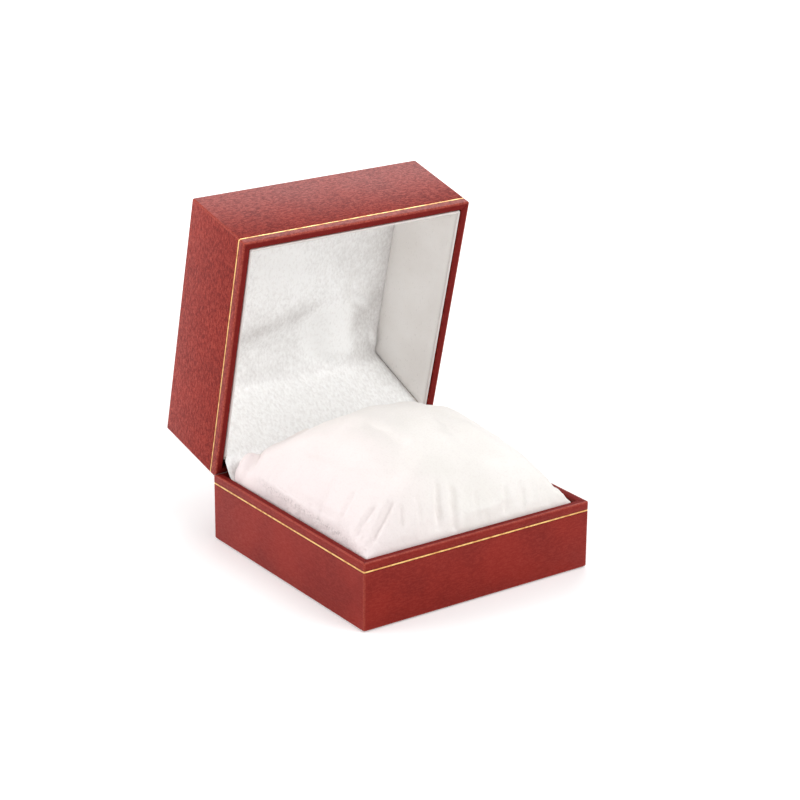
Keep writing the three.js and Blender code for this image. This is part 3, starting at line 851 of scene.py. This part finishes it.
def fold(x, y, start, end, left, right):
    """A soft fold from start to end, 1 along its crest and 0 from left and right of it, in mm."""
    a, b = np.array(start) * MM, np.array(end) * MM
    along = b - a
    length = np.linalg.norm(along)
    along = along / length
    run = (x - a[0]) * along[0] + (y - a[1]) * along[1]
    off = (y - a[1]) * along[0] - (x - a[0]) * along[1]
    taper = 0.35 * length
    fade = smoothstep(run / taper + 0.5) * smoothstep((length - run) / taper + 0.5)
    return fade * np.where(
        off > 0, smoothstep(1 - off / (left * MM)), smoothstep(1 + off / (right * MM))
    )


def ripples(x, y, size, seed, count=28):
    """Fine chance waves in a cloth, about 1 at their highest."""
    pick = np.random.default_rng(seed)
    total = 0 * x
    for _ in range(count):
        way = pick.uniform(0, math.pi)
        wave = size * pick.uniform(0.6, 1.8)
        turn = pick.uniform(0, 2 * math.pi)
        total = total + np.sin((x * math.cos(way) + y * math.sin(way)) * 2 * math.pi / wave + turn)
    return total / math.sqrt(2 * count)


# ---------------------------------------- pillow

PILLOW_LOW, PILLOW_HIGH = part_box("pillow_cover")
RIM = BASE_HIGH.z
PILLOW_SIDE = 42.6 * MM
PILLOW_CROWN = 25.2 * MM
BACK_BULGE = 40.7 * MM
EAR_PLACE = Vector((-40.6, 37.6)) * MM
EAR_RISE = 3.6 * MM
EAR_SIZE = 5.0 * MM
# Where the cover is drawn together above the rim: each gather's start, end, width and depth, in mm
GATHERS = (
    ((-8.0, -32.5), (-13.2, -40.5), 1.3, 1.3),
    ((-3.0, -34.0), (-7.8, -42.4), 1.6, 1.5),
    ((-24.0, -35.0), (-26.8, -40.0), 1.2, 0.9),
    ((16.2, -37.6), (13.8, -41.8), 1.2, 1.0),
    ((23.4, -37.4), (21.0, -41.8), 1.2, 0.9),
    ((31.0, -38.4), (29.5, -42.0), 1.1, 0.7),
    ((4.5, -37.0), (2.0, -42.0), 1.2, 0.7),
    ((-31.0, -30.8), (-41.0, -33.6), 1.2, 1.0),
    ((-26.0, -33.0), (-38.2, -39.0), 1.3, 1.3),
    ((-17.5, -35.0), (-20.5, -41.5), 1.1, 0.6),
    ((-33.0, -22.0), (-41.5, -24.5), 1.2, 0.7),
    ((-34.5, -12.0), (-41.8, -13.0), 1.2, 0.6),
    ((34.0, -12.0), (41.8, -14.0), 1.3, 0.8),
    ((34.5, 2.0), (41.8, 1.0), 1.3, 0.9),
    ((33.5, 17.0), (41.8, 19.0), 1.3, 0.8),
    ((-10.0, 36.5), (-11.5, 41.5), 1.4, 0.9),
    ((14.0, 36.5), (15.5, 41.5), 1.4, 0.8),
)
TUCK_DEPTH = 0.5 * MM
CORNER_DRAW = 1.5 * MM
TUFTS = 900
PILE_LENGTH = 1.9 * MM
PILE_THICKNESS = 0.16 * MM
PILE_LIMIT = 43.1 * MM


def dome(x, y):
    """The height of the pillow's top above the rim."""
    u = np.clip(np.abs(x) / PILLOW_SIDE, 0, 1)
    v = np.clip(np.abs(y) / PILLOW_SIDE, 0, 1)
    rise = PILLOW_CROWN * ((1 - u ** 2.74) * (1 - v ** 2.24)) ** 0.658
    rise += 1.2 * MM * hump(x, y, (16, 20), (11, 11))
    rise -= 0.9 * MM * hump(x, y, (-17, 28), (11, 11))
    ear = ((x - EAR_PLACE.x) ** 2 + (y - EAR_PLACE.y) ** 2) / EAR_SIZE ** 2
    return rise + EAR_RISE * np.exp(-(ear ** 2))


def hold_dome(piece, start):
    """Takes the slow part of what the cloth did to the top away, so that its folds stay and its
    dome is true, and keeps its sides at the rim as they were."""
    points = points_of(piece)
    free = smoothstep((start[:, 2] - RIM - MM) / (6 * MM))
    points = start + (points - start) * free[:, None]
    x, y, z = points.T
    gap = z - RIM - dome(x, y)
    top = (np.maximum(np.abs(x), np.abs(y)) < PILLOW_SIDE - 1.5 * MM) & (z > RIM + MM)
    u, v = x / PILLOW_SIDE, y / PILLOW_SIDE
    terms = np.stack([u ** i * v ** j for i in range(9) for j in range(9 - i)], axis=1)
    weights, *_ = np.linalg.lstsq(terms[top], gap[top], rcond=None)
    share = smoothstep((PILLOW_SIDE - np.maximum(np.abs(x), np.abs(y))) / (2 * MM))
    share = share * smoothstep((z - RIM) / (2 * MM))
    points[:, 2] -= share * np.clip(terms @ weights, -4 * MM, 4 * MM)
    set_points(piece, points)


def draw_gathers(piece):
    """Sinks the gathers into the cover, with a low swell between them, tucks its left side in and
    draws its front right corner in."""
    points = points_of(piece)
    x, y, z = points.T
    above = smoothstep((z - RIM) / (2 * MM))
    sink = 0 * x
    for start, end, width, depth in GATHERS:
        sink = sink + 1.25 * depth * fold(x, y, start, end, 1.25 * width, 1.25 * width)
        sink = sink - 0.4 * depth * fold(x, y, start, end, 2.8 * width, 2.8 * width)
    near_side = smoothstep((np.maximum(np.abs(x), np.abs(y)) - 33 * MM) / (8 * MM))
    around = np.where(np.abs(x) > np.abs(y), y, x)
    sink = sink + 0.22 * near_side * ripples(around, 0.12 * z, 3.4 * MM, 11)
    sink = sink + 0.1 * ripples(x, y, 18 * MM, 5)
    left = (
        smoothstep((-x - 38 * MM) / (4 * MM)) * smoothstep((24 * MM - y) / (9 * MM))
        * smoothstep((y + 38 * MM) / (12 * MM))
        * smoothstep((28 * MM - z) / (4 * MM)) * smoothstep((z - RIM + 3 * MM) / (3 * MM))
    )
    right = (
        smoothstep((x - 37 * MM) / (5 * MM)) * smoothstep((-y - 24 * MM) / (8 * MM))
        * smoothstep((30 * MM - z) / (3 * MM)) * smoothstep((z - RIM + 5 * MM) / (4 * MM))
    )
    points -= normals_of(piece) * (sink * MM * above)[:, None]
    points[:, 0] += left * TUCK_DEPTH - right * CORNER_DRAW
    set_points(piece, points)


def add_pile(piece):
    """Short tufts of pile along the tuck, where the plush parts and its fibres stand out."""
    pick = np.random.default_rng(8)
    points, normals = points_of(piece), normals_of(piece)
    x, y, z = points.T
    at_left = (x < -37.5 * MM) & (y < 27 * MM) & (y > -40 * MM)
    roots = np.nonzero(at_left & (z > RIM + 0.3 * MM) & (z < RIM + 7 * MM))[0]
    roots = pick.choice(roots, size=min(len(roots), TUFTS), replace=False)
    tuft_points, tuft_faces = [], []
    for root in roots:
        at, out = points[root], normals[root]
        lean = out + np.array((0, 0, -0.6)) + pick.normal(0, 0.45, 3)
        lean /= np.linalg.norm(lean)
        low_share = 1.2 - (at[2] - RIM) / (7 * MM)
        long = PILE_LENGTH * pick.uniform(0.35, 1.0) * max(0.3, low_share)
        side = np.cross(lean, (0.3, 0.8, 0.5))
        side *= PILE_THICKNESS / 2 / np.linalg.norm(side)
        across = np.cross(lean, side)
        first = len(tuft_points)
        foot = at - out * 0.15 * MM
        curl = np.array((0, 0, -0.25 * long))
        tuft_points += [foot + side, foot - side / 2 + across, foot - side / 2 - across]
        tip = foot + lean * long + curl
        tip[0] = max(tip[0], -PILE_LIMIT)
        tuft_points += [tip]
        tuft_faces += [(first, first + 2, first + 1)]
        tuft_faces += [(first + i, first + (i + 1) % 3, first + 3) for i in range(3)]
    mesh = bpy.data.meshes.new("pile")
    mesh.from_pydata([tuple(p) for p in tuft_points], [], tuft_faces)
    tufts = bpy.data.objects.new("pile", mesh)
    bpy.context.scene.collection.objects.link(tufts)
    edit_all(tufts)
    bpy.ops.mesh.normals_make_consistent(inside=False)
    to_object()
    return joined([piece, tufts])


def make_pillow():
    low, high = PILLOW_LOW, Vector((PILLOW_HIGH.x, PILLOW_HIGH.y, RIM))
    piece = block("pillow", low, high)
    edit_all(piece)
    bpy.ops.mesh.subdivide(number_cuts=47)
    to_object()
    points = points_of(piece)
    x, y, z = points.T
    share = (z - low.z) / (high.z - low.z)
    # The back bulges out over the hinge above the rim, and the top takes its dome.
    over_card = smoothstep((z - RIM + 0.4 * MM) / (2.6 * MM))
    back = smoothstep((y - 30 * MM) / (high.y - 30 * MM)) * over_card
    points[:, 1] = y + back * (BACK_BULGE - high.y)
    points[:, 2] = z + dome(x, points[:, 1]) * share ** 2
    set_points(piece, points)
    start = puff_up(piece, lambda points: points[:, 2] < RIM - 2 * MM)
    hold_dome(piece, start)
    apply_modifier(piece, "SUBSURF", levels=1, render_levels=1)
    draw_gathers(piece)
    piece = add_pile(piece)
    smooth(piece, 180)
    return piece


pillow = make_pillow()
put_on(pillow, PLUSH, "base", "plush", "pillow_cover", "pillow_filling")
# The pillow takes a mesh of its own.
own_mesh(pillow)

# ---------------------------------------- satin of the lid

PAD_LOW, PAD_HIGH = closed_box("lid_pad_satin")
SATIN_CLOTH = 0.35 * MM
ROOF_FACE = PAD_LOW.z
ROOF_FRONT = PAD_LOW.y
ROOF_SIDE = PAD_HIGH.x
# The slanted card at the hinge side: where its face would meet the roof's, and its end at the rim
SLOPE_TOP = Vector((28.3, 51.55)) * MM
SLOPE_FOOT = Vector((38.3, 24.5)) * MM
SLOPE_FOOT_SIDE = 41.9 * MM
SHARP_BEND = 0.7 * MM
SOFT_BEND = 8 * MM
MOST_RELIEF = 4.2
EDGE_ROLL = 2.6 * MM
ROLL_DEPTH = 0.7 * MM
BEND_SHADE = 0.3
SATIN_SIDE = 36.95 * MM
LINING_SHIFT = 0.15 * MM
LINING_ROUND = 0.42 * MM
LINING_EDGE = 0.6 * MM
LINING_PUFF = 0.45 * MM
# The flap's way down from the foot of the slope: past the bow spring, over the hinge's card, and
# down between the card and the pillow.
FLAP_TURNS = [
    Vector(turn) * MM
    for turn in ((42.2, 28.6), (40.9, 26.7), (40.25, 25.0), (37.98, 23.45), (37.95, 20.0))
]
FLAP_RUN = 12.7 * MM
FLAP_BEND = 0.8 * MM
FLAP_SIDE = 43.1 * MM


# The satin's folds on the roof: height, start, end, and width to the left and to the right, in mm
ROOF_FOLDS = (
    (2.2, (-38, 8), (14, -4), 13, 24),
    (2.6, (13, -4), (22, 32), 15, 9),
    (1.2, (22, -3), (31, 7), 2.8, 2.8),
    (0.8, (-32, 24), (-4, 26), 5, 12),
    (1.5, (31, 16), (38, 27), 2.2, 2.8),
)


def roof_folds(x, y):
    """How far the folds of the roof's satin stand out, in mm."""
    relief = 0.8 * (1 - np.clip(np.abs(x / ROOF_SIDE), 0, 1) ** 4)
    for height, start, end, left, right in ROOF_FOLDS:
        relief += height * fold(x, y, start, end, left, right)
    relief -= 0.8 * hump(x, y, (28, 13), (5, 9), 20)
    return relief


def roof_relief(x, y):
    """How far the roof's satin stands out from its plane, in metres."""
    relief = roof_folds(x, y)
    relief += 0.26 * ripples(x, y, 11 * MM, 4) + 0.07 * ripples(x, y, 4.5 * MM, 7)
    return np.maximum(MOST_RELIEF * np.tanh(relief / MOST_RELIEF), 0.15) * MM


def painted_sheen_of(x, y):
    """How bright the satin's painted sheen is, 0 to 1: bright where a fold leans up, dull
    elsewhere.
    """
    painted_sheen = 0.66 + 0.4 * hump(x, y, (-12, -16), (20, 13), 12)
    painted_sheen += 0.55 * smoothstep(1.8 * hump(x, y, (13, 15), (9, 14), -18))
    painted_sheen -= 0.42 * fold(x, y, (-34, 11), (10, 0), 6, 5)
    painted_sheen -= 0.45 * hump(x, y, (28, 10), (5, 8), 15)
    painted_sheen -= 0.42 * hump(x, y, (27, 26), (6, 5))
    painted_sheen += 0.5 * fold(x, y, (22, 1), (29, 7), 2.2, 2.2)
    painted_sheen += 0.6 * fold(x, y, (32, 18), (36, 28), 1.8, 1.8)
    painted_sheen += 0.07 * ripples(x, y, 9 * MM, 14)
    return np.clip(painted_sheen, 0.1, 1)


def rounded_path(turns, softness):
    """A path through the turns, its bends rounded: how far along, and the points."""
    step = 0.1 * MM
    turns = np.array(turns)
    at = np.concatenate([[0], np.cumsum(np.linalg.norm(np.diff(turns, axis=0), axis=1))])
    run = np.arange(0, at[-1] + step, step)
    path = np.stack([np.interp(run, at, turns[:, i]) for i in (0, 1)], axis=1)
    reach = int(3 * softness / step)
    weights = np.exp(-0.5 * (np.arange(-reach, reach + 1) * step / softness) ** 2)
    weights /= weights.sum()
    before = 2 * path[0] - path[reach:0:-1]
    after = 2 * path[-1] - path[-2:-reach - 2:-1]
    longer = np.concatenate([before, path, after])
    rounded = [np.convolve(longer[:, i], weights, "valid") for i in (0, 1)]
    return run, np.stack(rounded, axis=1)


def make_roof_satin():
    """One cloth over the padded roof that bends softly down over the slanted card, and on over the
    hinge to its end behind the pillow. It is made with the lid open."""
    turns = [(ROOF_FRONT, ROOF_FACE), tuple(SLOPE_TOP), tuple(SLOPE_FOOT)]
    roof_run = SLOPE_TOP.x - ROOF_FRONT
    slope_run = (SLOPE_FOOT - SLOPE_TOP).length
    along, sharp = rounded_path(turns, SHARP_BEND)
    along, soft = rounded_path(turns, SOFT_BEND)
    nothing_selected()
    bpy.ops.mesh.primitive_grid_add(x_subdivisions=84, y_subdivisions=120, size=1)
    piece = bpy.context.object
    piece.name = "roof_satin"
    flat = points_of(piece)
    u = flat[:, 0] * 2
    cut = roof_run + slope_run + FLAP_RUN
    whole_run = (flat[:, 1] + 0.5) * cut
    run = np.minimum(whole_run, roof_run + slope_run)
    ease = 1 - np.abs(u) ** 8
    y, z = [
        (1 - ease) * np.interp(run, along, sharp[:, i]) + ease * np.interp(run, along, soft[:, i])
        for i in (0, 1)
    ]
    share = np.clip((run - roof_run) / slope_run, 0, 1)
    half = SATIN_SIDE + (SLOPE_FOOT_SIDE - SATIN_SIDE) * share
    x = u * half
    # On the roof the cloth stands out along the lid's depth, on the slope square to the card.
    down = (SLOPE_FOOT - SLOPE_TOP).normalized()
    lean = smoothstep((run - roof_run + 6 * MM) / (12 * MM))
    out_y = lean * down.y
    out_z = -(1 - lean) - lean * down.x
    slope_puff = (0.8 * np.sin(math.pi * share) + 0.12 * ripples(x, run, 7 * MM, 3)) * MM
    slope_puff = slope_puff * (1 - u ** 6)
    out = roof_relief(x, y) * (1 - lean) + slope_puff * lean
    # Its sides and its front roll over the edge of the board.
    side = np.clip((np.abs(x) - half + EDGE_ROLL) / EDGE_ROLL, 0, 1)
    front = np.clip((ROOF_FRONT + EDGE_ROLL - y) / EDGE_ROLL, 0, 1)
    roll = 1 - np.sqrt(np.clip(1 - side ** 2, 0, 1)) + 1 - np.sqrt(np.clip(1 - front ** 2, 0, 1))
    out = out * (1 - side ** 3) - np.minimum(roll, 1) * ROLL_DEPTH * (1 - 0.5 * lean)
    points = np.stack([x, y + out * out_y, z + out * out_z], axis=1)
    turn = np.array(OPEN_LID)
    points = points @ turn[:3, :3].T + turn[:3, 3]
    # The flap: round the hinge, then down between the pillow and the card that covers the hinge.
    way = [tuple((OPEN_LID @ Vector((0, *SLOPE_FOOT))).yz)] + [tuple(turn) for turn in FLAP_TURNS]
    flap_along, flap_path = rounded_path(way, FLAP_BEND)
    past = np.maximum(whole_run - roof_run - slope_run, 0) * flap_along[-1] / FLAP_RUN
    on_flap = whole_run > roof_run + slope_run
    sag = 0.25 * MM * ripples(x, past, 8 * MM, 9) * smoothstep(past / (2 * MM)) * (1 - u ** 8)
    wider = 1 + (FLAP_SIDE / SLOPE_FOOT_SIDE - 1) * smoothstep(past / (1.2 * MM))
    points[:, 0] = np.where(on_flap, x * wider, points[:, 0])
    flap_y, flap_z = [np.interp(past, flap_along, flap_path[:, i]) for i in (0, 1)]
    points[:, 1] = np.where(on_flap, flap_y - sag, points[:, 1])
    points[:, 2] = np.where(on_flap, flap_z, points[:, 2])
    set_points(piece, points)
    # Painted shade darkens the junctions with the linings, and a painted sheen brightens the slope.
    shade = 0.4 * smoothstep((x - half + 9 * MM) / (9 * MM))
    shade = shade + 0.15 * smoothstep((ROOF_FRONT + 9 * MM - y) / (9 * MM))
    slope_painted_sheen = 0.8 - 0.5 * smoothstep((x - half + 3 * MM) / (3 * MM))
    painted_sheen = (painted_sheen_of(x, y) - shade) * (1 - lean) + slope_painted_sheen * lean
    # The bend faces the light, so its painted sheen is held back with painted shade.
    painted_sheen = painted_sheen - BEND_SHADE * 9.5 * lean ** 3 * (1 - lean)
    held = piece.data.attributes.new("painted_sheen", "FLOAT", "POINT")
    held.data.foreach_set("value", painted_sheen.astype(np.float32))
    edit_all(piece)
    bpy.ops.mesh.flip_normals()
    to_object()
    apply_modifier(piece, "SUBSURF", levels=1, render_levels=1)
    apply_modifier(piece, "SOLIDIFY", thickness=SATIN_CLOTH, offset=-1)
    smooth(piece, 60)
    return piece, (2 * SLOPE_FOOT_SIDE, cut), (
        2 * SATIN_SIDE * roof_run + (SATIN_SIDE + SLOPE_FOOT_SIDE) * slope_run
        + 2 * SLOPE_FOOT_SIDE * FLAP_RUN
    )


roof_satin, satin_cut, satin_area = make_roof_satin()
put_on(roof_satin, ROOF_SATIN, None, "satin", "lid_pad_satin")
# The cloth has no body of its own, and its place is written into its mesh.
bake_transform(roof_satin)


def make_lining(name, node, inward):
    """A satin-covered card: the CAD panel with rolled edges and a soft, slightly puffed face."""
    panel = bench_copy(name, node)
    panel.data.transform(Matrix.Translation(Vector(inward) * LINING_SHIFT) @ CLOSE_LID)
    edit_all(panel)
    bpy.ops.mesh.bevel(offset=LINING_ROUND, segments=4, affect="EDGES")
    middle = Vector((0, 0, (LID_LOW.z + LID_HIGH.z) / 2))
    biggest = sorted(bmesh.from_edit_mesh(panel.data).faces, key=lambda f: -f.calc_area())[:2]
    inner = min(biggest, key=lambda f: (f.calc_center_median() - middle).length)
    centre, normal = inner.calc_center_median().copy(), inner.normal.copy()
    choose(panel, "FACE", lambda f: (f.calc_center_median() - centre).length < 1e-7)
    bpy.ops.mesh.inset(thickness=LINING_EDGE, depth=0)
    bpy.ops.mesh.subdivide(number_cuts=23)
    mesh = bmesh.from_edit_mesh(panel.data)
    face_points = {v.index for f in mesh.faces if f.select for v in f.verts}
    to_object()
    points = points_of(panel)
    chosen = sorted(face_points)
    flat = points[chosen] - np.array(centre)
    along = np.array(normal.cross(Vector((0, 0, 1))).normalized())
    up = np.cross(along, np.array(normal))
    a, b = flat @ along, flat @ up
    u, v = a / np.abs(a).max(), b / np.abs(b).max()
    rise = LINING_PUFF * (np.clip(1 - u ** 4, 0, 1) * np.clip(1 - v ** 4, 0, 1)) ** 0.6
    points[chosen] += rise[:, None] * np.array(normal)
    set_points(panel, points)
    smooth(panel, 50)
    swing_lid_open(panel)
    put_on(panel, LINING_SATIN, "lid", "satin", node)


for place, inward in (("right", (-1, 0, 0)), ("left", (1, 0, 0)), ("front", (0, 1, 0))):
    make_lining("satin_" + place, "lid_lining_" + place, inward)


def make_roof_foam():
    """The foam behind the roof's satin, its edges crushed round and its face a little uneven."""
    low, high = closed_box("lid_pad_foam")
    foam = block("roof_foam", low, high)
    edit_all(foam)
    bpy.ops.mesh.bevel(offset=FOAM_ROUND, segments=4, affect="EDGES")
    bpy.ops.mesh.select_all(action="SELECT")
    bpy.ops.mesh.subdivide(number_cuts=11)
    to_object()
    points = points_of(foam)
    x, y, z = points.T
    points[:, 2] += 0.12 * MM * (1 + ripples(x, y, 13 * MM, 21)) * (z < (low.z + high.z) / 2)
    set_points(foam, points)
    smooth(foam, 60)
    return foam


roof_foam = make_roof_foam()
swing_lid_open(roof_foam)
put_on(roof_foam, FOAM, "lid", "foam", "lid_pad_foam")

# ---------------------------------------- bow spring


def make_bow_spring():
    """The strip of spring steel that snaps the lid open and shut, with its edges broken."""
    spring = bench_copy("bow_spring", "hinge_spring")
    apply_modifier(spring, "BEVEL", width=SPRING_EDGE, segments=2, limit_method="ANGLE")
    smooth(spring, 30)
    return spring


bow_spring = make_bow_spring()
put_on(bow_spring, STEEL, None, "spring_steel", "hinge_spring")
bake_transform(bow_spring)

# ---------------------------------------- CAD nodes that stay

STAYING = (
    (MOULDING, ("base_shell", "lid_shell")),
    (FELT, ("base_bottom_panel", "base_liner")),
    (CARD, ("base_floor_card", "base_hinge_cover", "lid_pad_board", "lid_lining_ramp")),
    (STEEL, ("hinge_pin",)),
    (BRASS, (
        "hinge_leaf_base", "hinge_rivet_base_left", "hinge_rivet_base_right",
        "hinge_leaf_lid", "hinge_rivet_lid_left", "hinge_rivet_lid_right",
    )),
)
for finish, nodes in STAYING:
    for node in nodes:
        frame["nodes"][node].data.materials.clear()
        frame["nodes"][node].data.materials.append(finish)
